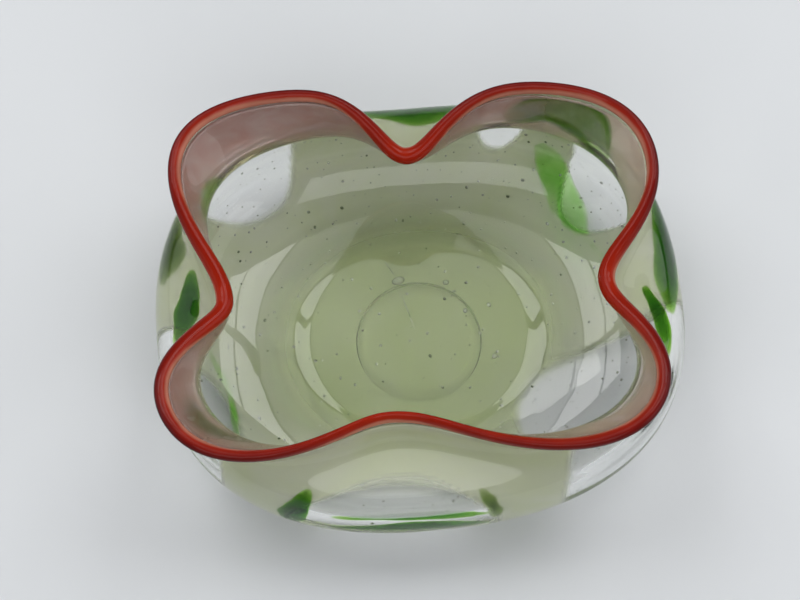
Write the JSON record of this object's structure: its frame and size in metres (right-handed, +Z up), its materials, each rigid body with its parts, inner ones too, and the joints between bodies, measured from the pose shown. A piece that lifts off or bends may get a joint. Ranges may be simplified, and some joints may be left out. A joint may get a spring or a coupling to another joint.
{
  "type": "art glass bowl",
  "caption": "Low blown glass bowl with a rounded oblong body, pinches in a flared wavy rim, a red trail on the lip and green streaks in pale green glass.",
  "frame": {"origin": "middle of the underside, on the plane that the foot stands on", "axes": "+X along the bowl's length, +Y across it towards the narrow pinch, +Z up out of the bowl"},
  "size_m": [0.1606, 0.1356, 0.0653],
  "materials": {
    "clear_glass": "fire-polished, with seeds",
    "pale_green_glass": "fire-polished",
    "bright_green_glass": "inside the wall",
    "dark_green_glass": "inside the wall",
    "olive_green_glass": "inside the wall",
    "red_glass": "fire-polished"
  },
  "bodies": {
    "root": {"clear_casing": "clear_glass", "green_lining": "pale_green_glass", "lip_wrap": "red_glass", "back_right_swirl": "dark_green_glass", "back_right_band": "bright_green_glass", "right_shoulder_streak": "dark_green_glass", "right_pinch_streak": "dark_green_glass", "left_lobe_sliver": "bright_green_glass", "left_shoulder_streak": "olive_green_glass", "left_pinch_streak": "dark_green_glass", "left_inner_line": "bright_green_glass", "front_left_patch": "olive_green_glass", "front_left_streak": "bright_green_glass", "front_base_streak": "dark_green_glass", "front_right_streak": "olive_green_glass", "back_shoulder_streak": "dark_green_glass"}
  },
  "joints": []
}
